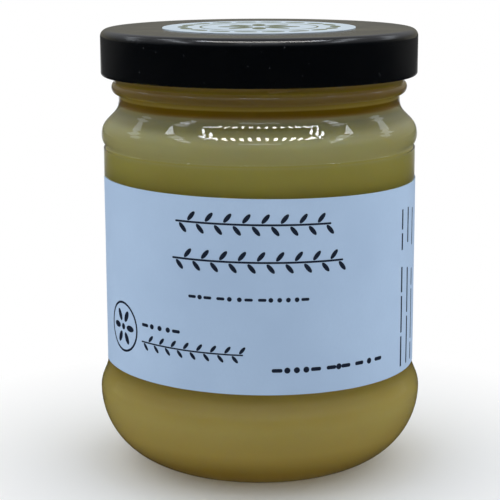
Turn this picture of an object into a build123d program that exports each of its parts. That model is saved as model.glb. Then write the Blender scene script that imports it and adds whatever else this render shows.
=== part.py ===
from build123d import *

import os
from math import cos, degrees, radians, sin, sqrt, tan

# A round glass jar of creamed honey: twist-off lid, wrap-round paper label, round sticker on the lid.
# Millimetres, +Z up. The origin is the middle of the foot, on the surface that the jar stands on.
# The label's front faces -Y. Outlines are drawn as (radius, height) and turned about +Z.

# ---- body of the jar ----
panel_radius = 32.2  # the upright wall that carries the label
panel_height = 44.8
wall = 2.4
base_thickness = 4.2
foot_land = 2.0  # width of the ring that touches the table
push_up = 1.1  # how far the underside rises inside that ring
heel_radius = 15.6  # rounding from the foot up to the heel bead
heel_bead_out = 1.55  # how far the heel bead stands out from the panel
heel_blend = 6.0  # height over which the heel bead runs back to the panel

# ---- shoulder ----
groove_height = 1.1  # fine groove between the panel and the shoulder bead
groove_depth = 0.7
shoulder_bead_out = 0.4
shoulder_bead_below = 1.7  # from the groove up to the bead's widest point
shoulder_rise = 7.0  # from the bead's widest point up to the neck

# ---- neck and finish ----
finish_radius = 29.8  # plain wall that the threads stand on
finish_wall = 2.6
finish_height = 10.4  # from the top of the transfer ring to the rim
neck_inset = 0.85  # how far the neck is drawn in below the ring
neck_height = 1.2
ring_out = 0.6  # how far the transfer ring stands out
ring_height = 2.5
rim_round = 0.7
thread_count = 4
thread_section = 1.1  # radius of a thread's round section
thread_out = 1.3  # how far a thread's crest stands out
thread_span = 62.0  # degrees round the finish
thread_slope = 5.5  # degrees
thread_low_gap = 0.25  # from the ring to the underside of a thread's low end
thread_start = -86.0  # bearing of the first low end, in degrees from +X towards +Y

# ---- honey ----
headspace = 3.4  # from the honey up to the rim
fill_gap = 0.05  # between the honey and the glass

# ---- lid ----
lid_sheet = 0.3
lid_height = 9.4
lid_thread_gap = 1.1  # between the crests of the threads and the skirt
lid_round = 1.5  # rounding between the top and the skirt
curl = 0.65  # radius of the rolled edge's section
lug_width = 7.0
lug_reach = 0.6  # how far a lug goes in past the crest of a thread
lug_play = 0.15  # between a lug and the thread above it
lug_angle = 42.0  # from a thread's low end to the lug under it, in degrees

# ---- paper ----
glue = 0.02
label_thickness = 0.15
label_height = 38.5
label_width = 99.0
label_low = 0.4  # from the foot of the panel to the label's lower edge, at the front
label_skew = 0.8  # degrees; its right-hand side is the lower one
label_left = -79.0  # bearing of the left-hand edge, in degrees from the front
sticker_radius = 19.8
sticker_thickness = 0.15

# ---- sizes that follow ----
heel_bead_radius = panel_radius + heel_bead_out
foot_radius = heel_bead_radius - heel_radius
panel_bottom = heel_radius + heel_blend
panel_top = panel_bottom + panel_height
groove_top = panel_top + groove_height
shoulder_bead = groove_top + shoulder_bead_below
neck_bottom = shoulder_bead + shoulder_rise
ring_bottom = neck_bottom + neck_height
ring_top = ring_bottom + ring_height
rim = ring_top + finish_height
bore_radius = finish_radius - finish_wall
neck_radius = finish_radius - neck_inset
thread_crest = finish_radius + thread_out
thread_centre = thread_crest - thread_section
thread_rise = thread_centre * sin(radians(thread_span / 2)) * tan(radians(thread_slope))
thread_middle = ring_top + thread_low_gap + thread_section + thread_rise
honey_level = rim - headspace
skirt_radius = thread_crest + lid_thread_gap  # inside of the skirt
lid_radius = skirt_radius + lid_sheet
lid_top = rim + lid_sheet
lid_bottom = lid_top - lid_height


def at(radius, height):
    """The point of the XZ plane at this radius and height."""
    return (radius, 0, height)


def straight(start, end):
    """A straight stretch of an outline."""
    return Line(at(*start), at(*end))


def bow(start, middle, end):
    """An arc of an outline through three points."""
    return ThreePointArc(at(*start), at(*middle), at(*end))


def quarter(centre, radius, start_angle):
    """A quarter circle, anticlockwise from start_angle, in degrees from straight outwards."""
    turns = [radians(start_angle + step) for step in (0, 45, 90)]
    return bow(*[(centre[0] + radius * cos(turn), centre[1] + radius * sin(turn)) for turn in turns])


def s_bend(low, high):
    """A smooth bend from one upright stretch up to another."""
    return Spline(at(*low), at(*high), tangents=[(0, 0, 1), (0, 0, 1)])


def turned(outline):
    """The solid of revolution of a closed outline."""
    return revolve(Face(Wire(outline)), Axis.Z)


def outside_of_glass():
    """Outline from the middle of the underside up to the rounding of the rim."""
    hollow_radius = foot_radius - foot_land
    shoulder_radius = panel_radius + shoulder_bead_out
    return [
        bow((0, push_up), (hollow_radius / 2, push_up * 0.75), (hollow_radius, 0)),
        straight((hollow_radius, 0), (foot_radius, 0)),
        quarter((foot_radius, heel_radius), heel_radius, -90),
        s_bend((heel_bead_radius, heel_radius), (panel_radius, panel_bottom)),
        straight((panel_radius, panel_bottom), (panel_radius, panel_top)),
        bow(
            (panel_radius, panel_top),
            (panel_radius - groove_depth, panel_top + groove_height / 2),
            (panel_radius, groove_top),
        ),
        TangentArc(at(shoulder_radius, shoulder_bead), at(panel_radius, groove_top), tangent=(0, 0, -1)),
        s_bend((shoulder_radius, shoulder_bead), (neck_radius, neck_bottom)),
        straight((neck_radius, neck_bottom), (neck_radius, ring_bottom)),
        bow(
            (neck_radius, ring_bottom),
            (finish_radius + ring_out, ring_bottom + ring_height / 2),
            (finish_radius, ring_top),
        ),
        straight((finish_radius, ring_top), (finish_radius, rim - rim_round)),
    ]


def rim_of_glass():
    """Outline over the rim, with the flat that the lid seats on."""
    rounding = rim - rim_round
    return [
        quarter((finish_radius - rim_round, rounding), rim_round, 0),
        straight((finish_radius - rim_round, rim), (bore_radius + rim_round, rim)),
        quarter((bore_radius + rim_round, rounding), rim_round, 90),
    ]


def hollow(gap, top):
    """Outline of the hollow, kept clear of the glass by gap, from the middle of its floor up to top."""
    floor = base_thickness + gap
    side = panel_radius - wall - gap
    bore = bore_radius - gap
    corner = heel_radius - wall - gap
    return [
        straight((0, floor), (side - corner, floor)),
        quarter((side - corner, floor + corner), corner, -90),
        straight((side, floor + corner), (side, shoulder_bead)),
        s_bend((side, shoulder_bead), (bore, neck_bottom)),
        straight((bore, neck_bottom), (bore, top)),
    ]


def thread(low_end):
    """The bar and the two round ends of a thread that climbs from the bearing low_end."""
    section = Plane.XZ * Pos(thread_centre, 0) * Circle(thread_section)
    half = thread_span / 2
    bar = revolve(Rot(0, 0, -half) * section, Axis.Z, thread_span)
    end = Pos(thread_centre, 0, 0) * Sphere(thread_section)
    place = Pos(0, 0, thread_middle) * Rot(0, 0, low_end + half) * Rot(thread_slope, 0, 0)
    return [place * bar, place * Rot(0, 0, -half) * end, place * Rot(0, 0, half) * end]


def thread_starts():
    """Bearings of the low ends of the threads."""
    return [thread_start + number * 360 / thread_count for number in range(thread_count)]


def make_jar_glass():
    """The jar: one shell with its foot, heel, panel, shoulder, neck, transfer ring and threads."""
    axis = straight((0, base_thickness), (0, push_up))
    outline = outside_of_glass() + rim_of_glass() + hollow(0, rim - rim_round) + [axis]
    return turned(outline) + [piece for start in thread_starts() for piece in thread(start)]


def make_honey():
    """The honey: it fills the hollow up to its level under the lid."""
    outline = hollow(fill_gap, honey_level) + [
        straight((bore_radius - fill_gap, honey_level), (0, honey_level)),
        straight((0, honey_level), (0, base_thickness + fill_gap)),
    ]
    return turned(outline)


def lid_shell():
    """The pressed cap: a flat top that seats on the rim, a skirt and its rolled edge."""
    curl_middle = lid_bottom + curl
    curl_top = curl_middle + sqrt(curl**2 - (curl - lid_sheet) ** 2)
    curl_in = lid_radius - curl * (1 + cos(radians(45)))
    shoulder = (lid_radius - lid_round, lid_top - lid_round)
    return turned(
        [
            straight((0, lid_top), (shoulder[0], lid_top)),
            quarter(shoulder, lid_round, 0),
            straight((lid_radius, shoulder[1]), (lid_radius, curl_middle)),
            bow(
                (lid_radius, curl_middle),
                (lid_radius - curl, lid_bottom),
                (lid_radius - 2 * curl, curl_middle),
            ),
            bow(
                (lid_radius - 2 * curl, curl_middle),
                (curl_in, curl_middle + curl * sin(radians(45))),
                (skirt_radius, curl_top),
            ),
            straight((skirt_radius, curl_top), (skirt_radius, shoulder[1])),
            quarter(shoulder, lid_round - lid_sheet, 0),
            straight((shoulder[0], rim), (0, rim)),
            straight((0, rim), (0, lid_top)),
        ]
    )


def lug(low_end):
    """One lug of the lid, hooked under the thread whose low end is at the bearing low_end."""
    lug_span = degrees(lug_width / thread_crest)
    first = lug_angle - lug_span / 2
    climb = thread_centre * sin(radians(first - thread_span / 2)) * tan(radians(thread_slope))
    lug_top = thread_middle + climb - thread_section - lug_play
    inner = thread_crest - lug_reach
    outer = skirt_radius + lid_sheet / 2
    low = lid_bottom + curl / 2
    outline = [
        straight((inner, low), (outer, low)),
        straight((outer, low), (outer, lug_top)),
        straight((outer, lug_top), (inner, lug_top)),
        straight((inner, lug_top), (inner, low)),
    ]
    return revolve(Rot(0, 0, low_end + first) * Face(Wire(outline)), Axis.Z, lug_span)


def make_lid():
    """The lid: the pressed cap with its lugs."""
    return lid_shell() + [lug(start) for start in thread_starts()]


def make_label():
    """The paper label, wrapped round the panel and stuck on a little askew."""
    inner = panel_radius + glue
    outer = inner + label_thickness
    turn = degrees(label_width / outer)
    middle = panel_bottom + label_low + label_height / 2
    outline = [
        straight((inner, 0), (outer, 0)),
        straight((outer, 0), (outer, 2 * middle)),
        straight((outer, 2 * middle), (inner, 2 * middle)),
        straight((inner, 2 * middle), (inner, 0)),
    ]
    sleeve = revolve(Rot(0, 0, label_left - 90) * Face(Wire(outline)), Axis.Z, turn)
    band = Pos(0, 0, middle) * Rot(0, label_skew, 0) * Box(4 * outer, 4 * outer, label_height)
    return sleeve & band


def make_lid_sticker():
    """The round paper sticker in the middle of the lid."""
    low = lid_top + glue + sticker_thickness / 2
    return Pos(0, 0, low) * Cylinder(sticker_radius, sticker_thickness)


pieces = {
    "jar_glass": make_jar_glass(),
    "honey": make_honey(),
    "lid": make_lid(),
    "label": make_label(),
    "lid_sticker": make_lid_sticker(),
}

os.makedirs("parts", exist_ok=True)
for name, piece in pieces.items():
    export_step(piece, f"parts/{name}.step")
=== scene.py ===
"""A round glass jar of creamed honey: twist-off lid, wrap-round paper label, round sticker on the lid.

The jar stands on z = 0 and its label faces -Y. The jar's sizes are in millimetres, and each mesh is scaled
as it is finished. The stage's sizes are in metres.
"""

import logging
from dataclasses import dataclass
from enum import Enum
from math import cos, degrees, pi, radians, sin

import bmesh
import bpy
from mathutils import Euler, Matrix, Vector


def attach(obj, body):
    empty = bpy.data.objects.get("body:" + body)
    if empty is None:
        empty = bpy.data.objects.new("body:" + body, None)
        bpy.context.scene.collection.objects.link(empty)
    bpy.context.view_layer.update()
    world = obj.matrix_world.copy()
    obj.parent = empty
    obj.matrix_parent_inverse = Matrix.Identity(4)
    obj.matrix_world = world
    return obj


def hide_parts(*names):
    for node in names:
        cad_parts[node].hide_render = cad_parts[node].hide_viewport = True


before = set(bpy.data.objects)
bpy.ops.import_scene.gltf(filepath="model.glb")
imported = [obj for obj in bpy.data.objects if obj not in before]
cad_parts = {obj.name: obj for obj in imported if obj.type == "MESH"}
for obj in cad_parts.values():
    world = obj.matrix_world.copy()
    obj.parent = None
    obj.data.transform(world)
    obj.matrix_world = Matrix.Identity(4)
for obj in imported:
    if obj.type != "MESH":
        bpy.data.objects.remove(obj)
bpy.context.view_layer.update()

log = logging.getLogger("honey_jar")

MM = 0.001
BODY = "root"
SHARP_ANGLE = 35  # degrees between two faces from which their edge is sharp
MERGE_WITHIN = 1e-4  # millimetres

Point = tuple[float, float]
Triple = tuple[float, float, float]
Rgb = Triple
Rows = tuple[tuple[float, float, float, float], ...]
Socket = bpy.types.NodeSocket


class Slot(Enum):
    """The material slots' names."""

    GLASS = "jar_glass"
    HONEY = "honey"
    LID = "lid_enamel"
    LABEL = "label_paper"
    STICKER = "sticker_paper"


def linear(red: int, green: int, blue: int) -> Rgb:
    """Turn an 8-bit screen colour into a linear one.

    Args:
        red: Red, 0 to 255.
        green: Green, 0 to 255.
        blue: Blue, 0 to 255.

    Returns:
        The linear colour.
    """
    shares = [value / 255 for value in (red, green, blue)]
    return tuple(s / 12.92 if s <= 0.04045 else ((s + 0.055) / 1.055) ** 2.4 for s in shares)


# ---------------------------------------------------------------- node helpers


class Nodes:
    """The node tree of a material or of the world, with short ways to add what it needs."""

    def __init__(self, owner: bpy.types.Material | bpy.types.World) -> None:
        """Start the empty tree of a new material or world."""
        owner.use_nodes = True
        self.owner = owner
        self.tree = owner.node_tree
        self.tree.nodes.clear()
        kind = "World" if isinstance(owner, bpy.types.World) else "Material"
        self.output = self.add(f"ShaderNodeOutput{kind}")

    def add(self, kind: str, **settings: object) -> bpy.types.Node:
        """Add a node and set its properties."""
        node = self.tree.nodes.new(kind)
        for key, value in settings.items():
            setattr(node, key, value)
        return node

    def link(self, source: Socket, target: Socket) -> None:
        """Join two sockets."""
        self.tree.links.new(source, target)

    def principled(self, **values: object) -> bpy.types.Node:
        """Add the shader that the material ends in.

        Args:
            values: Input values, with underscores for the spaces of their names.

        Returns:
            The shader.
        """
        shader = self.add("ShaderNodeBsdfPrincipled")
        for key, value in values.items():
            shader.inputs[key.replace("_", " ")].default_value = value
        self.show(shader.outputs[0])
        return shader

    def show(self, surface: Socket) -> None:
        """End the tree in this surface."""
        self.link(surface, self.output.inputs["Surface"])

    def place(self) -> Socket:
        """The position on the piece, in metres."""
        return self.add("ShaderNodeTexCoord").outputs["Object"]

    def parts(self, vector: Socket) -> list[Socket]:
        """The X, Y and Z of a vector."""
        node = self.add("ShaderNodeSeparateXYZ")
        self.link(vector, node.inputs[0])
        return list(node.outputs)

    def maths(self, operation: str, *values: Socket) -> Socket:
        """Join one or two values by an operation of Blender's Math node."""
        node = self.add("ShaderNodeMath", operation=operation)
        for value, socket in zip(values, node.inputs):
            self.link(value, socket)
        return node.outputs[0]

    def noise(self, per_metre: float, detail: float = 2.0, stretch: Rgb = (1, 1, 1)) -> Socket:
        """Add a noise on the piece's own position.

        Args:
            per_metre: Scale of the noise.
            detail: Octaves.
            stretch: Scale of each axis.

        Returns:
            The noise's value.
        """
        mapping = self.add("ShaderNodeMapping")
        mapping.inputs["Scale"].default_value = stretch
        self.link(self.place(), mapping.inputs["Vector"])
        noise = self.add("ShaderNodeTexNoise")
        noise.inputs["Scale"].default_value = per_metre
        noise.inputs["Detail"].default_value = detail
        self.link(mapping.outputs[0], noise.inputs["Vector"])
        return noise.outputs["Fac"]

    def ramp(self, value: Socket, stops: list[tuple[float, Rgb]]) -> Socket:
        """Turn a value into a colour.

        Args:
            value: The value.
            stops: Positions and colours, from low to high.

        Returns:
            The colour.
        """
        ramp = self.add("ShaderNodeValToRGB")
        elements = ramp.color_ramp.elements
        while len(elements) < len(stops):
            elements.new(0.5)
        for element, (position, colour) in zip(elements, stops):
            element.position = position
            element.color = (*colour, 1)
        self.link(value, ramp.inputs["Fac"])
        return ramp.outputs["Color"]

    def scaled(self, value: Socket, low: float, high: float, to_low: float, to_high: float) -> Socket:
        """Map a value's range from low..high to to_low..to_high."""
        node = self.add("ShaderNodeMapRange")
        limits = {"From Min": low, "From Max": high, "To Min": to_low, "To Max": to_high}
        for name, number in limits.items():
            node.inputs[name].default_value = number
        self.link(value, node.inputs["Value"])
        return node.outputs["Result"]

    def mixed(
        self,
        share: Socket | float,
        first: Socket | Rgb,
        second: Socket | Rgb,
        blend: str = "MIX",
    ) -> Socket:
        """Mix two colours.

        Args:
            share: How much of the second.
            first: The first colour.
            second: The second colour.
            blend: The mix's blend type.

        Returns:
            The mixed colour.
        """
        node = self.add("ShaderNodeMix", data_type="RGBA", blend_type=blend)
        for socket, value in ((node.inputs[0], share), (node.inputs[6], first), (node.inputs[7], second)):
            if isinstance(value, Socket):
                self.link(value, socket)
            elif isinstance(value, tuple):
                socket.default_value = (*value, 1)
            else:
                socket.default_value = value
        return node.outputs[2]

    def bump(self, height: Socket, strength: float, distance: float) -> Socket:
        """Add a bump.

        Args:
            height: The height.
            strength: Its strength.
            distance: What a height of 1 stands for, in metres.

        Returns:
            The bent normal.
        """
        node = self.add("ShaderNodeBump")
        node.inputs["Strength"].default_value = strength
        node.inputs["Distance"].default_value = distance
        self.link(height, node.inputs["Height"])
        return node.outputs["Normal"]

    def either(self, share: Socket, first: Socket, second: Socket) -> Socket:
        """Mix two shaders, by the second one's share."""
        node = self.add("ShaderNodeMixShader")
        for number, socket in enumerate((share, first, second)):
            self.link(socket, node.inputs[number])
        return node.outputs[0]

    def ray(self, kind: str) -> Socket:
        """1 for a ray of this kind, such as Camera, and 0 for any other."""
        return self.add("ShaderNodeLightPath").outputs[f"Is {kind} Ray"]

    def mirrored(self) -> Socket:
        """1 for a ray off a glossy surface, and 0 for one that went through glass."""
        return self.maths("GREATER_THAN", self.ray("Glossy"), self.ray("Transmission"))


# ------------------------------------------------------------------- finishes


@dataclass(frozen=True)
class ClearGlass:
    """Pressed clear glass with a slight green cast and a faint waviness."""

    tint: Rgb = (0.985, 1.0, 0.985)
    waviness: float = 0.06
    waves_per_metre: float = 70.0
    wave_height: float = 0.0006

    def material(self) -> bpy.types.Material:
        """Build the material."""
        nodes = Nodes(bpy.data.materials.new("clear_glass"))
        tint = (*self.tint, 1)
        shader = nodes.principled(Base_Color=tint, Roughness=0.0, IOR=1.5, Transmission_Weight=1.0)
        wavy = nodes.noise(self.waves_per_metre, 1.0, (1, 1, 0.5))
        nodes.link(nodes.bump(wavy, self.waviness, self.wave_height), shader.inputs["Normal"])
        return nodes.owner


@dataclass(frozen=True)
class CreamedHoney:
    """Opaque set honey: light wanders in it, so it deepens where the paper and the lid keep light out.

    Its heights are in millimetres, from the floor of the jar to the neck, each with the colour there: the
    honey's colour with painted shade at the foot, near the label and under the lid, and painted highlights
    and reflections at the heel, shoulder, neck and transfer ring.
    """

    painted_light_bands: tuple[tuple[float, Rgb], ...] = (
        # painted shade at the deep foot, and a painted highlight on the paler heel above it
        (0.0, linear(96, 70, 16)),
        (5.5, linear(120, 97, 34)),
        (9.0, linear(168, 149, 82)),
        (14.0, linear(176, 161, 96)),
        (18.0, linear(172, 155, 86)),
        (19.5, linear(176, 158, 88)),
        # painted shade behind the label and just above it, where the paper keeps light out
        (40.0, linear(168, 156, 84)),
        (60.0, linear(160, 150, 74)),
        # painted light on the shoulder: a paler, greyer band where more light reaches the honey through the
        # glass
        (65.5, linear(171, 165, 92)),
        (66.4, linear(173, 169, 116)),
        (70.6, linear(164, 163, 120)),
        (72.0, linear(144, 142, 92)),
        (73.6, linear(142, 140, 96)),
        (74.7, linear(164, 154, 100)),
        # painted shade in the neck, a dark amber band, and a painted highlight line above it
        (75.1, linear(142, 106, 14)),
        (75.7, linear(130, 99, 2)),
        (76.4, linear(128, 100, 2)),
        (76.8, linear(188, 166, 84)),
        # painted reflections of the transfer ring: thin light and dark streaks
        (77.2, linear(148, 128, 54)),
        (78.3, linear(160, 134, 84)),
        (78.7, linear(124, 98, 40)),
        (78.82, linear(178, 156, 92)),
        (79.0, linear(176, 154, 66)),
        # the shade under the lid
        (79.9, linear(138, 120, 34)),
        (80.3, linear(138, 116, 48)),
        (80.8, linear(165, 140, 86)),
    )
    stain: Rgb = linear(150, 132, 66)
    stain_share: float = 0.22
    swirls_per_metre: float = 38.0
    spread: float = 0.006
    level: float = 86.9

    def material(self) -> bpy.types.Material:
        """Build the material."""
        nodes = Nodes(bpy.data.materials.new("creamed_honey"))
        shader = nodes.principled(
            Roughness=0.5,
            IOR=1.45,
            Specular_IOR_Level=0.0,
            Subsurface_Weight=1.0,
            Subsurface_Radius=(1.0, 0.8, 0.3),
            Subsurface_Scale=self.spread,
        )
        height = nodes.scaled(nodes.parts(nodes.place())[2], 0.0, self.level * MM, 0.0, 1.0)
        # the honey's colour by height, with its painted shade, highlights and reflections
        tone_with_painted_light = nodes.ramp(height, [(rise / self.level, colour) for rise, colour in self.painted_light_bands])
        swirl = nodes.noise(self.swirls_per_metre, 3.0, (1, 1, 2.2))
        swirl = nodes.scaled(swirl, 0.4, 0.7, 0.0, self.stain_share)
        nodes.link(nodes.mixed(swirl, tone_with_painted_light, self.stain), shader.inputs["Base Color"])
        return nodes.owner


@dataclass(frozen=True)
class BlackEnamel:
    """Glossy black lacquer on tinplate, with dust and the faint orange peel of a sprayed coat."""

    # near-black with a faint blue cast painted in: a painted sheen for the bluish light the lid reflects
    colour: Rgb = (0.0004, 0.001, 0.0018)
    dust: Rgb = linear(70, 72, 74)
    dust_share: float = 0.6
    specks_per_metre: float = 1500.0
    speck_range: Point = (0.755, 0.82)  # the noise from which there is a speck, and a full one
    smears_per_metre: float = 90.0
    roughness: Point = (0.12, 0.24)
    peel_per_metre: float = 700.0
    peel: float = 0.05
    peel_height: float = 0.0001

    def material(self) -> bpy.types.Material:
        """Build the material."""
        nodes = Nodes(bpy.data.materials.new("black_enamel"))
        shader = nodes.principled(IOR=1.5, Specular_IOR_Level=0.5)
        specks = nodes.noise(self.specks_per_metre, 1.0)
        specks = nodes.scaled(specks, *self.speck_range, 0.0, self.dust_share)
        nodes.link(nodes.mixed(specks, self.colour, self.dust), shader.inputs["Base Color"])
        smear = nodes.scaled(nodes.noise(self.smears_per_metre, 4.0), 0.3, 0.7, *self.roughness)
        nodes.link(smear, shader.inputs["Roughness"])
        orange_peel = nodes.noise(self.peel_per_metre, 2.0)
        nodes.link(nodes.bump(orange_peel, self.peel, self.peel_height), shader.inputs["Normal"])
        return nodes.owner


@dataclass(frozen=True)
class Paper:
    """Smooth coated paper."""

    name: str
    colour: Rgb
    shade: Rgb
    roughness: float = 0.5
    clouds_per_metre: float = 45.0
    fibres_per_metre: float = 2600.0
    fibre_share: float = 0.3
    tooth_per_metre: float = 1800.0
    tooth: float = 0.12
    tooth_height: float = 0.00005

    def material(self) -> bpy.types.Material:
        """Build the material."""
        nodes = Nodes(bpy.data.materials.new(self.name))
        shader = nodes.principled(Roughness=self.roughness, IOR=1.45, Specular_IOR_Level=0.35)
        cloud = nodes.scaled(nodes.noise(self.clouds_per_metre, 3.0), 0.3, 0.7, 0.0, 1.0)
        fibre = nodes.noise(self.fibres_per_metre, 2.0, (1, 1, 0.6))
        fibre = nodes.scaled(fibre, 0.35, 0.7, 0.0, self.fibre_share)
        tone = nodes.mixed(cloud, self.colour, self.shade)
        nodes.link(nodes.mixed(fibre, tone, self.shade), shader.inputs["Base Color"])
        tooth = nodes.noise(self.tooth_per_metre, 2.0)
        nodes.link(nodes.bump(tooth, self.tooth, self.tooth_height), shader.inputs["Normal"])
        return nodes.owner


@dataclass(frozen=True)
class Ink:
    """Printing ink, slightly uneven."""

    name: str
    colour: Rgb
    roughness: float = 0.45
    thin_ink: Point = (1.5, 0.004)  # where it is thin its colour is this many times as light, plus this
    mottle_per_metre: float = 1200.0
    mottle_share: float = 0.6

    def material(self) -> bpy.types.Material:
        """Build the material."""
        nodes = Nodes(bpy.data.materials.new(self.name))
        shader = nodes.principled(Roughness=self.roughness, IOR=1.45, Specular_IOR_Level=0.3)
        times, plus = self.thin_ink
        thin = tuple(min(1.0, share * times + plus) for share in self.colour)
        uneven = nodes.scaled(nodes.noise(self.mottle_per_metre, 2.0), 0.4, 0.7, 0.0, self.mottle_share)
        nodes.link(nodes.mixed(uneven, self.colour, thin), shader.inputs["Base Color"])
        return nodes.owner


# --------------------------------------------------------------- mesh helpers


def arc(centre: Point, radius: float, start: float, end: float, steps: int = 12) -> list[Point]:
    """Points of an outline along an arc.

    Args:
        centre: The arc's centre, as (radius, height).
        radius: Its radius.
        start: Its first bearing, in degrees from straight outwards.
        end: Its last bearing.
        steps: How many stretches it has.

    Returns:
        The points, ends included.
    """
    turns = [radians(start + (end - start) * step / steps) for step in range(steps + 1)]
    return [(centre[0] + radius * cos(turn), centre[1] + radius * sin(turn)) for turn in turns]


def s_bend(low: Point, high: Point, steps: int = 16) -> list[Point]:
    """Points of a smooth bend from one upright stretch up to another, ends included."""
    shares = [step / steps for step in range(steps + 1)]
    return [
        (low[0] + (high[0] - low[0]) * share**2 * (3 - 2 * share), low[1] + (high[1] - low[1]) * share)
        for share in shares
    ]


def turned(outline: list[Point], steps: int = 256) -> bmesh.types.BMesh:
    """Spin an outline about the jar's axis.

    Args:
        outline: Points as (radius, height), from one end on the axis to the other.
        steps: How many stretches the full turn has.

    Returns:
        The closed mesh, in millimetres, with its faces outwards.
    """
    mesh = bmesh.new()
    points = [mesh.verts.new((radius, 0, height)) for radius, height in outline]
    edges = [mesh.edges.new(pair) for pair in zip(points, points[1:])]
    bmesh.ops.spin(
        mesh, geom=points + edges, cent=(0, 0, 0), axis=(0, 0, 1), angle=2 * pi, steps=steps, use_merge=True
    )
    bmesh.ops.remove_doubles(mesh, verts=mesh.verts, dist=MERGE_WITHIN)
    bmesh.ops.recalc_face_normals(mesh, faces=mesh.faces)
    return mesh


def finished(
    mesh: bmesh.types.BMesh, name: str, material: bpy.types.Material
) -> bpy.types.Object:
    """Turn a mesh in millimetres into a piece of the jar.

    Args:
        mesh: The mesh, which is used up.
        name: The piece's name.
        material: Its finish.

    Returns:
        The piece, riding on the jar.
    """
    bmesh.ops.scale(mesh, vec=(MM, MM, MM), verts=mesh.verts)
    for face in mesh.faces:
        face.smooth = True
    data = bpy.data.meshes.new(name)
    mesh.to_mesh(data)
    mesh.free()
    data.materials.append(material)
    data.set_sharp_from_angle(angle=radians(SHARP_ANGLE))
    piece = bpy.data.objects.new(name, data)
    bpy.context.scene.collection.objects.link(piece)
    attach(piece, BODY)
    log.info("%s: %d faces", name, len(data.polygons))
    return piece


# ------------------------------------------------------------------ assemblies


@dataclass
class GlassJar:
    """The pressed glass: the CAD shell, dressed."""

    finish: ClearGlass = ClearGlass()

    def dress(self) -> None:
        """Give the shell its glass."""
        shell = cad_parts["jar_glass"]
        shell.data.materials.clear()
        shell.data.materials.append(self.finish.material())
        log.info("jar_glass: dressed")


@dataclass
class HoneyFill:
    """The honey: it fills the jar and reaches a little into the wall, so that no gap shows."""

    into_glass: float = 0.18
    side: float = 29.8
    floor: float = 4.2
    corner: float = 13.2
    shoulder: float = 69.2
    neck: float = 76.2
    bore: float = 27.2
    level: float = 86.9
    meniscus: float = 0.6
    finish: CreamedHoney = CreamedHoney()

    def outline(self) -> list[Point]:
        """The fill's outline, from the middle of its floor to the middle of its top."""
        side = self.side + self.into_glass
        bore = self.bore + self.into_glass
        floor = self.floor - self.into_glass
        corner = self.corner + self.into_glass
        return (
            [(0, floor)]
            + arc((side - corner, floor + corner), corner, -90, 0, 20)
            + s_bend((side, self.shoulder), (bore, self.neck))
            + arc((bore - self.meniscus, self.level - self.meniscus), self.meniscus, 0, 90, 5)
            + [(0, self.level)]
        )

    def build(self) -> None:
        """Build the fill and hide the CAD one."""
        piece = finished(turned(self.outline()), "honey_fill", self.finish.material())
        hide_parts("honey")


@dataclass
class TwistOffLid:
    """The pressed tinplate lid."""

    finish: BlackEnamel = BlackEnamel()

    def dress(self) -> None:
        """Give the lid its enamel."""
        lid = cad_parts["lid"]
        lid.data.materials.clear()
        lid.data.materials.append(self.finish.material())
        log.info("lid: dressed")


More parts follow.
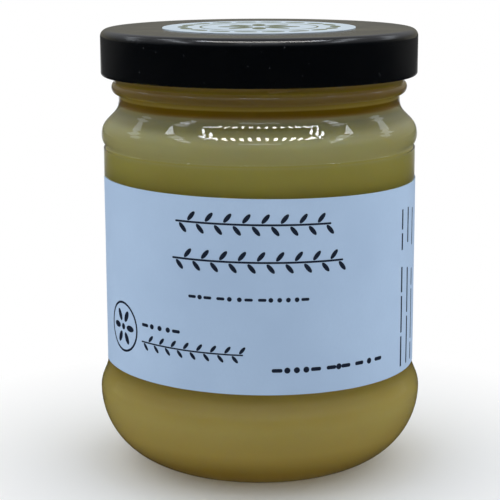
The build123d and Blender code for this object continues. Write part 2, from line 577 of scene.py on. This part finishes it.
@dataclass
class Artwork:
    """Flat printed shapes, gathered in one mesh in the XY plane, in millimetres."""

    thickness: float = 0.02
    segments: int = 24
    bar_step: float = 1.5

    def __post_init__(self) -> None:
        """Start with an empty mesh."""
        self.mesh = bmesh.new()

    def bar(self, start: float, end: float, middle: float, tall: float, roundness: float = 0.45) -> None:
        """Add a bar with rounded corners.

        Args:
            start: Its left end.
            end: Its right end.
            middle: The height of its middle.
            tall: How tall it is.
            roundness: Its corner radius as a share of how tall it is.
        """
        wide = end - start
        steps = max(1, round(wide / self.bar_step))
        verts = bmesh.ops.create_grid(self.mesh, x_segments=steps, y_segments=1, size=0.5)["verts"]
        bmesh.ops.scale(self.mesh, vec=(wide, tall, 1), verts=verts)
        bmesh.ops.translate(self.mesh, vec=((start + end) / 2, middle, 0), verts=verts)
        centre = (start + end) / 2
        corners = [vert for vert in verts if abs(abs(vert.co.x - centre) - wide / 2) < MERGE_WITHIN]
        bmesh.ops.bevel(
            self.mesh,
            geom=corners,
            offset=min(tall, wide / steps) * roundness,
            offset_type="OFFSET",
            affect="VERTICES",
            segments=4,
            profile=0.5,
            material=-1,
        )

    def oval(self, centre: Point, wide: float, tall: float, turn: float = 0.0) -> None:
        """Add an oval.

        Args:
            centre: Its middle.
            wide: Its width.
            tall: Its height.
            turn: How far it is turned, in degrees.
        """
        disc = bmesh.ops.create_circle(self.mesh, cap_ends=True, radius=0.5, segments=self.segments)
        verts = disc["verts"]
        bmesh.ops.scale(self.mesh, vec=(wide, tall, 1), verts=verts)
        turning = Matrix.Rotation(radians(turn), 3, "Z")
        bmesh.ops.rotate(self.mesh, cent=(0, 0, 0), matrix=turning, verts=verts)
        bmesh.ops.translate(self.mesh, vec=(*centre, 0), verts=verts)

    def sprig(self, start: float, end: float, middle: float, tall: float) -> None:
        """Add a sprig: a thin stem with slanting leaves, turn about above and below it.

        Args:
            start: Its left end.
            end: Its right end.
            middle: The height of its stem.
            tall: How tall it is with its leaves.
        """
        self.bar(start, end, middle, 0.09 * tall)
        pitch = 0.4 * tall
        count = int((end - start) / pitch)
        for number in range(count):
            side = 1 if number % 2 else -1
            root = start + (number + 0.5) * (end - start) / count
            place = (root + 0.16 * tall, middle + side * 0.27 * tall)
            self.oval(place, 0.52 * tall, 0.2 * tall, side * 50)

    def dots(self, start: float, end: float, middle: float, size: float) -> None:
        """Add a row of dots with a short dash at each end."""
        dash = 1.4 * size
        self.bar(start, start + dash, middle, 0.5 * size)
        self.bar(end - dash, end, middle, 0.5 * size)
        inside = end - start - 2 * dash
        count = max(1, int(inside / (1.25 * size)))
        for number in range(count):
            place = (start + dash + (number + 0.5) * inside / count, middle)
            self.oval(place, 0.8 * size, 0.8 * size)

    def ring(self, centre: Point, outer: float, inner: float) -> None:
        """Add a ring of these two radii about a centre."""
        edges = []
        steps = self.segments * 3
        for radius in (outer, inner):
            circle = bmesh.ops.create_circle(self.mesh, cap_ends=False, radius=radius, segments=steps)
            bmesh.ops.translate(self.mesh, vec=(*centre, 0), verts=circle["verts"])
            edges += list({edge for vert in circle["verts"] for edge in vert.link_edges})
        bmesh.ops.bridge_loops(self.mesh, edges=edges)

    def blossom(self, centre: Point, reach: float, petals: int, size: Point) -> None:
        """Add a ring of petals or leaves.

        Args:
            centre: Its middle.
            reach: From the middle to the middle of each petal.
            petals: How many petals it has.
            size: A petal's size outwards and across.
        """
        for number in range(petals):
            turn = 2 * pi * number / petals
            place = (centre[0] + reach * cos(turn), centre[1] + reach * sin(turn))
            self.oval(place, size[0], size[1], degrees(turn))

    def thick(self) -> bmesh.types.BMesh:
        """The shapes, given their thickness, with faces outwards."""
        downward = [face for face in self.mesh.faces if face.normal.z < 0]
        bmesh.ops.reverse_faces(self.mesh, faces=downward)
        bmesh.ops.solidify(self.mesh, geom=self.mesh.faces[:], thickness=self.thickness)
        bmesh.ops.recalc_face_normals(self.mesh, faces=self.mesh.faces)
        return self.mesh


@dataclass
class PaperLabel:
    """The label wrapped round the panel, a little askew, with its print.

    Print is placed by how far round it is from the front, to the right, and by its height above the floor.
    """

    inner: float = 32.22
    thickness: float = 0.15
    low: float = 22.0
    height: float = 38.5
    first: float = -79.0
    width: float = 99.0
    skew: float = 0.8
    ripple: float = 0.05
    paper: Paper = Paper("label_paper", linear(179, 203, 231), linear(169, 193, 222))
    ink: Ink = Ink("navy_ink", linear(14, 28, 50))
    # left end, right end, height of the stem or of the dots, and how tall
    sprigs: Rows = ((-17.1, 14.0, 55.5, 4.4), (-17.9, 16.7, 48.2, 4.4), (-26.4, -3.4, 29.9, 3.4))
    dot_rows: Rows = (
        (-14.4, -9.6, 40.9, 1.15),
        (-8.6, -1.5, 40.9, 1.15),
        (-0.5, 9.5, 40.9, 1.15),
        (-26.2, -16.4, 33.4, 1.3),
        (2.1, 12.0, 26.9, 1.5),
        (13.2, 18.6, 26.9, 1.5),
        (19.8, 27.2, 26.9, 1.5),
    )
    # how far round each upright stroke is, and its lowest and highest points
    strokes: tuple[Triple, ...] = (
        (35.0, 47.5, 50.9),
        (35.0, 51.7, 55.8),
        (35.0, 23.3, 29.6),
        (35.0, 30.4, 38.0),
        (35.0, 38.8, 44.0),
        (38.2, 48.6, 55.8),
        (38.2, 23.3, 33.2),
        (38.2, 34.0, 43.4),
        (41.6, 47.5, 55.2),
        (41.6, 23.3, 26.9),
        (41.6, 27.7, 38.2),
        (41.6, 39.0, 42.6),
    )
    stroke_width: float = 0.6
    blossom_at: Point = (-32.9, 31.6)
    ring_radii: Point = (5.2, 4.75)
    petals: int = 6
    petal_reach: float = 2.6
    petal: Point = (2.6, 1.3)

    @property
    def outer(self) -> float:
        """The radius of the printed face."""
        return self.inner + self.thickness

    def lift(self, turn: float, height: float) -> float:
        """How far the paper stands off the glass at a bearing and a height."""
        waves = (
            sin(9 * turn + 0.11 * height),
            sin(23 * turn - 0.07 * height + 1.3),
            sin(0.31 * height + 3 * turn),
        )
        return self.ripple * (1 + sum(waves) / len(waves)) / 2

    def wrap(self, mesh: bmesh.types.BMesh, radius: float) -> None:
        """Lay a flat mesh round the panel.

        Args:
            mesh: A mesh in the XY plane: X is how far round it goes, to the right, and Y is the height.
            radius: Where its plane comes to lie.
        """
        for vert in mesh.verts:
            turn = vert.co.x / self.outer
            reach = radius + vert.co.z + self.lift(turn, vert.co.y)
            drop = sin(turn) * self.outer * sin(radians(self.skew))
            vert.co = Vector((reach * sin(turn), -reach * cos(turn), vert.co.y - drop))

    def sheet(self) -> None:
        """Build the sheet and hide the CAD one."""
        mesh = bmesh.new()
        bmesh.ops.create_grid(mesh, x_segments=200, y_segments=40, size=0.5)
        bmesh.ops.scale(mesh, vec=(self.width, self.height, 1), verts=mesh.verts)
        start = radians(self.first) * self.outer
        middle = (start + self.width / 2, self.low + self.height / 2, 0)
        bmesh.ops.translate(mesh, vec=middle, verts=mesh.verts)
        bmesh.ops.solidify(mesh, geom=mesh.faces[:], thickness=self.thickness)
        lowest = min(vert.co.z for vert in mesh.verts)
        bmesh.ops.translate(mesh, vec=(0, 0, -lowest), verts=mesh.verts)
        self.wrap(mesh, self.inner)
        bmesh.ops.recalc_face_normals(mesh, faces=mesh.faces)
        piece = finished(mesh, "label_sheet", self.paper.material())
        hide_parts("label")

    def print_on(self) -> None:
        """Print the label's sprigs, its rows of dots, its upright strokes and its small blossom."""
        art = Artwork()
        for start, end, middle, tall in self.sprigs:
            art.sprig(start, end, middle, tall)
        for start, end, middle, size in self.dot_rows:
            art.dots(start, end, middle, size)
        art.ring(self.blossom_at, *self.ring_radii)
        art.blossom(self.blossom_at, self.petal_reach, self.petals, self.petal)
        art.oval(self.blossom_at, self.petal[1], self.petal[1])
        half = self.stroke_width / 2
        for column, low, high in self.strokes:
            art.bar(column - half, column + half, (low + high) / 2, high - low, 0.05)
        mesh = art.thick()
        self.wrap(mesh, self.outer + art.thickness)
        bmesh.ops.recalc_face_normals(mesh, faces=mesh.faces)
        finished(mesh, "label_print", self.ink.material())


@dataclass
class LidSticker:
    """The round paper sticker on the lid, with its print."""

    radius: float = 19.8
    low: float = 90.62
    thickness: float = 0.15
    paper: Paper = Paper("sticker_paper", linear(224, 239, 250), linear(212, 229, 244), 0.35)
    leaf_ink: Ink = Ink("olive_ink", linear(110, 118, 84))
    edge: float = 0.04
    leaves: int = 18
    leaf: Point = (2.2, 4.6)
    leaf_reach: float = 15.6
    ring_radii: Point = (12.2, 11.8)
    petals: int = 8
    petal: Point = (6.4, 2.8)
    petal_reach: float = 5.2

    @property
    def top(self) -> float:
        """The height of the printed face."""
        return self.low + self.thickness

    def disc(self) -> None:
        """Build the sticker's disc and hide the CAD one."""
        outline = [
            (0, self.low),
            (self.radius, self.low),
            (self.radius, self.top - self.edge),
            (self.radius - self.edge, self.top),
            (0, self.top),
        ]
        piece = finished(turned(outline, 160), "sticker_disc", self.paper.material())
        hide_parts("lid_sticker")

    def print_on(self) -> None:
        """Print the ring of leaves and the blossom in the middle."""
        art = Artwork()
        art.blossom((0, 0), self.leaf_reach, self.leaves, self.leaf)
        art.ring((0, 0), *self.ring_radii)
        art.blossom((0, 0), self.petal_reach, self.petals, self.petal)
        mesh = art.thick()
        bmesh.ops.translate(mesh, vec=(0, 0, self.top + art.thickness), verts=mesh.verts)
        finished(mesh, "sticker_print", self.leaf_ink.material())


# ----------------------------------------------------------------------- stage


@dataclass
class Camera:
    """The camera: its pitch is in degrees and its roll in radians."""

    place: Triple = (-0.0020, -0.3294, 0.1117)
    pitch_down: float = 11.6
    roll: float = -0.0035
    lens: float = 114.9
    sensor: float = 36.0
    nearest: float = 0.01
    furthest: float = 50.0

    def build(self) -> None:
        """Set up the camera."""
        data = bpy.data.cameras.new("camera")
        data.lens = self.lens
        data.sensor_width = self.sensor
        data.clip_start = self.nearest
        data.clip_end = self.furthest
        camera = bpy.data.objects.new("camera", data)
        camera.location = self.place
        level = Euler((radians(90 - self.pitch_down), 0, 0)).to_matrix().to_4x4()
        camera.rotation_euler = (level @ Matrix.Rotation(self.roll, 4, "Z")).to_euler()
        bpy.context.scene.collection.objects.link(camera)
        bpy.context.scene.camera = camera


@dataclass
class Floor:
    """The floor: lit paper near the jar that turns into plain white light further off."""

    reach: float = 6.0
    colour: Rgb = (0.86, 0.87, 0.88)
    lit_within: float = 0.035
    white_beyond: float = 0.085
    mirror_front: float = 0.02  # how bright what is glossy sees it in front of the jar
    mirror_depth: Point = (0.25, 0.7)  # where it turns bright behind the jar
    mirror_aside: Point = (0.35, 0.1)  # how far aside it is dim, and bright

    def mirror(self, nodes: Nodes) -> Socket:
        """What is glossy sees a dim floor, bright only far behind the jar."""
        across, along, _ = nodes.parts(nodes.place())
        behind = nodes.scaled(along, *self.mirror_depth, 0.0, 1.0)
        narrow = nodes.scaled(nodes.maths("ABSOLUTE", across), *self.mirror_aside, 0.05, 1.0)
        emission = nodes.add("ShaderNodeEmission")
        share = nodes.maths("MULTIPLY", behind, narrow)
        nodes.link(nodes.scaled(share, 0.0, 1.0, self.mirror_front, 1.0), emission.inputs["Strength"])
        return emission.outputs[0]

    def material(self) -> bpy.types.Material:
        """Build the material."""
        nodes = Nodes(bpy.data.materials.new("floor_paper"))
        diffuse = nodes.add("ShaderNodeBsdfDiffuse")
        diffuse.inputs["Color"].default_value = (*self.colour, 1)
        glow = nodes.add("ShaderNodeEmission")
        glow.inputs["Strength"].default_value = 1.0
        distance = nodes.add("ShaderNodeVectorMath", operation="LENGTH")
        nodes.link(nodes.place(), distance.inputs[0])
        far = nodes.scaled(distance.outputs["Value"], self.lit_within, self.white_beyond, 0.0, 1.0)
        seen = nodes.maths("MULTIPLY", far, nodes.ray("Camera"))
        white = nodes.maths("MAXIMUM", seen, nodes.ray("Transmission"))
        lit = nodes.either(white, diffuse.outputs[0], glow.outputs[0])
        nodes.show(nodes.either(nodes.mirrored(), lit, self.mirror(nodes)))
        return nodes.owner

    def build(self) -> None:
        """Lay the floor."""
        mesh = bmesh.new()
        bmesh.ops.create_grid(mesh, x_segments=1, y_segments=1, size=self.reach)
        data = bpy.data.meshes.new("floor")
        mesh.to_mesh(data)
        mesh.free()
        data.materials.append(self.material())
        floor = bpy.data.objects.new("floor", data)
        bpy.context.scene.collection.objects.link(floor)


@dataclass
class Room:
    """The room: white to the eye, soft light from all sides, and dim to what is glossy."""

    light: Rgb = (0.97, 0.985, 1.0)
    front_light: float = 0.1
    back_light: float = 1.25
    side_light: float = 0.9
    wall_behind: Rgb = (0.24, 0.23, 0.19)
    wall_ahead: Rgb = (0.012, 0.02, 0.03)
    ceiling: Rgb = (0.46, 0.47, 0.5)
    wall_turns: Point = (-0.1, 0.8)  # from the wall ahead to the one behind, by how far back a ray points
    ceiling_starts: Point = (0.1, 0.45)  # from wall to ceiling, by how far up a ray points

    def background(self, nodes: Nodes, colour: Rgb | Socket, strength: float | Socket = 1.0) -> Socket:
        """Add a background of this colour and strength."""
        node = nodes.add("ShaderNodeBackground")
        if isinstance(colour, Socket):
            nodes.link(colour, node.inputs["Color"])
        else:
            node.inputs["Color"].default_value = (*colour, 1)
        if isinstance(strength, Socket):
            nodes.link(strength, node.inputs["Strength"])
        else:
            node.inputs["Strength"].default_value = strength
        return node.outputs[0]

    def build(self) -> None:
        """Set the room."""
        nodes = Nodes(bpy.data.worlds.new("room"))
        direction = nodes.add("ShaderNodeTexCoord").outputs["Generated"]
        across, along, upwards = nodes.parts(direction)
        lengthwise = nodes.scaled(along, -1.0, 1.0, self.front_light, self.back_light)
        sideways = nodes.scaled(nodes.maths("ABSOLUTE", across), 0.0, 1.0, 0.0, self.side_light)
        soft = self.background(nodes, self.light, nodes.maths("ADD", lengthwise, sideways))
        white = self.background(nodes, (1.0, 1.0, 1.0))
        back = nodes.scaled(along, *self.wall_turns, 0.0, 1.0)
        up = nodes.scaled(upwards, *self.ceiling_starts, 0.0, 1.0)
        walls = nodes.mixed(back, self.wall_ahead, self.wall_behind)
        mirror = self.background(nodes, nodes.mixed(up, walls, self.ceiling))
        lit = nodes.either(nodes.ray("Camera"), soft, white)
        nodes.show(nodes.either(nodes.mirrored(), lit, mirror))
        bpy.context.scene.world = nodes.owner


@dataclass
class Lamps:
    """Window panes far off at both sides, and tubes and small spots overhead, with powers in watts."""

    aim: Triple = (0, 0, 0.07)
    overhead: float = 0.72
    daylight: Rgb = (0.86, 0.92, 1.0)
    warm: Rgb = (1.0, 0.97, 0.92)
    panes: int = 3
    pane_away: float = 1.2
    pane_size: Point = (0.2, 0.2)
    # a row's name, the bearing and rise of its first and its last pane in degrees, and a pane's power
    pane_rows: tuple[tuple[str, Point, Point, float], ...] = (
        ("left_pane", (-106, 23), (-130, 37), 0.17),
        ("right_pane", (110, 23), (131, 35), 0.19),
    )
    tubes: int = 5
    tube_first: Point = (0.82, -0.5)
    tube_run: Point = (-0.36, 0.62)  # from the first to the last
    tube_size: Point = (0.08, 0.12)
    tube_wider: float = 0.05  # how much wider every second one is
    tube_power: float = 0.14
    tube_brighter: float = 0.05  # from each to the next of the three powers that take turns
    front_tube_at: float = -0.7
    front_tube_size: Point = (0.45, 0.12)
    front_tube_power: float = 0.5
    spots: int = 12
    spot_first: float = -0.27
    spot_pitch: float = 0.0527
    spot_row: float = -0.275
    spot_bow: float = 0.7
    spot_size: Point = (0.022, 0.13)
    spot_power: float = 0.3
    bunch: int = 15
    bunch_sides: tuple[Point, ...] = ((-1, 0.305), (1, 0.335))  # side, and how far out its middle is
    bunch_front: float = -0.21
    bunch_depth: float = 0.18
    bunch_slant: float = 0.06  # how much further out its front is than its back
    bunch_swing: float = 0.036  # how far to each side of that line its spots lie
    bunch_turn: float = 4.0  # radians of that swing from one spot to the next
    bunch_size: Point = (0.013, 0.024)
    bunch_power: float = 0.03

    def hang(
        self, name: str, place: Triple, size: Point, power: float, colour: Rgb, aside: float = 0.0
    ) -> None:
        """Hang one lamp, aimed at the jar, that shows only in what is glossy.

        Args:
            name: Its name.
            place: Where it hangs.
            size: Its width and height.
            power: Its power.
            colour: Its colour.
            aside: How far along X from the jar's middle it points.
        """
        data = bpy.data.lights.new(name, "AREA")
        data.shape = "RECTANGLE"
        data.size, data.size_y = size
        data.energy = power
        data.color = colour
        lamp = bpy.data.objects.new(name, data)
        lamp.location = place
        way = Vector(self.aim) + Vector((aside, 0, 0)) - Vector(place)
        lamp.rotation_euler = way.to_track_quat("-Z", "Y").to_euler()
        lamp.visible_camera = False
        lamp.visible_diffuse = False
        lamp.visible_transmission = False
        bpy.context.scene.collection.objects.link(lamp)

    def hang_panes(self) -> None:
        """Hang a slanting row of window panes at each side."""
        for name, first, last, power in self.pane_rows:
            for number in range(self.panes):
                share = number / (self.panes - 1)
                bearing, rise = [radians(start + (end - start) * share) for start, end in zip(first, last)]
                level = self.pane_away * cos(rise)
                height = self.aim[2] + self.pane_away * sin(rise)
                place = (level * sin(bearing), -level * cos(bearing), height)
                self.hang(f"{name}_{number}", place, self.pane_size, power, self.daylight)

    def hang_tubes(self) -> None:
        """Hang a broken row of tubes overhead at each side, and a dim one in front."""
        for name, side in (("left_tube", -1), ("right_tube", 1)):
            for number in range(self.tubes):
                share = number / (self.tubes - 1)
                aside, along = [start + run * share for start, run in zip(self.tube_first, self.tube_run)]
                size = (self.tube_size[0] + self.tube_wider * (number % 2), self.tube_size[1])
                power = self.tube_power + self.tube_brighter * (number % 3)
                place = (side * aside, along, self.overhead)
                self.hang(f"{name}_{number}", place, size, power, self.daylight)
        place = (0, self.front_tube_at, self.overhead)
        self.hang("front_tube", place, self.front_tube_size, self.front_tube_power, self.daylight)

    def hang_spots(self) -> None:
        """Hang a row of small spots overhead, with a bunch of them at each end."""
        for number in range(self.spots):
            aside = self.spot_first + self.spot_pitch * number
            place = (aside, self.spot_row + self.spot_bow * aside**2, self.overhead)
            self.hang(f"spot_{number}", place, self.spot_size, self.spot_power, self.warm, aside)
        for side, middle in self.bunch_sides:
            for number in range(self.bunch):
                share = number / (self.bunch - 1)
                swing = self.bunch_swing * sin(self.bunch_turn * number)
                aside = side * (middle + self.bunch_slant * (0.5 - share) + swing)
                place = (aside, self.bunch_front + self.bunch_depth * share, self.overhead)
                self.hang(f"bunch_{side}_{number}", place, self.bunch_size, self.bunch_power, self.daylight)

    def build(self) -> None:
        """Hang them all."""
        self.hang_panes()
        self.hang_tubes()
        self.hang_spots()


def main() -> None:
    """Build the stage and then the jar, piece by piece."""
    logging.basicConfig(level=logging.INFO, format="%(message)s")
    bpy.context.scene.view_settings.view_transform = "Standard"
    Camera().build()
    Floor().build()
    Room().build()
    Lamps().build()
    GlassJar().dress()
    HoneyFill().build()
    TwistOffLid().dress()
    label = PaperLabel()
    label.sheet()
    label.print_on()
    sticker = LidSticker()
    sticker.disc()
    sticker.print_on()


if __name__ == "__main__":
    main()
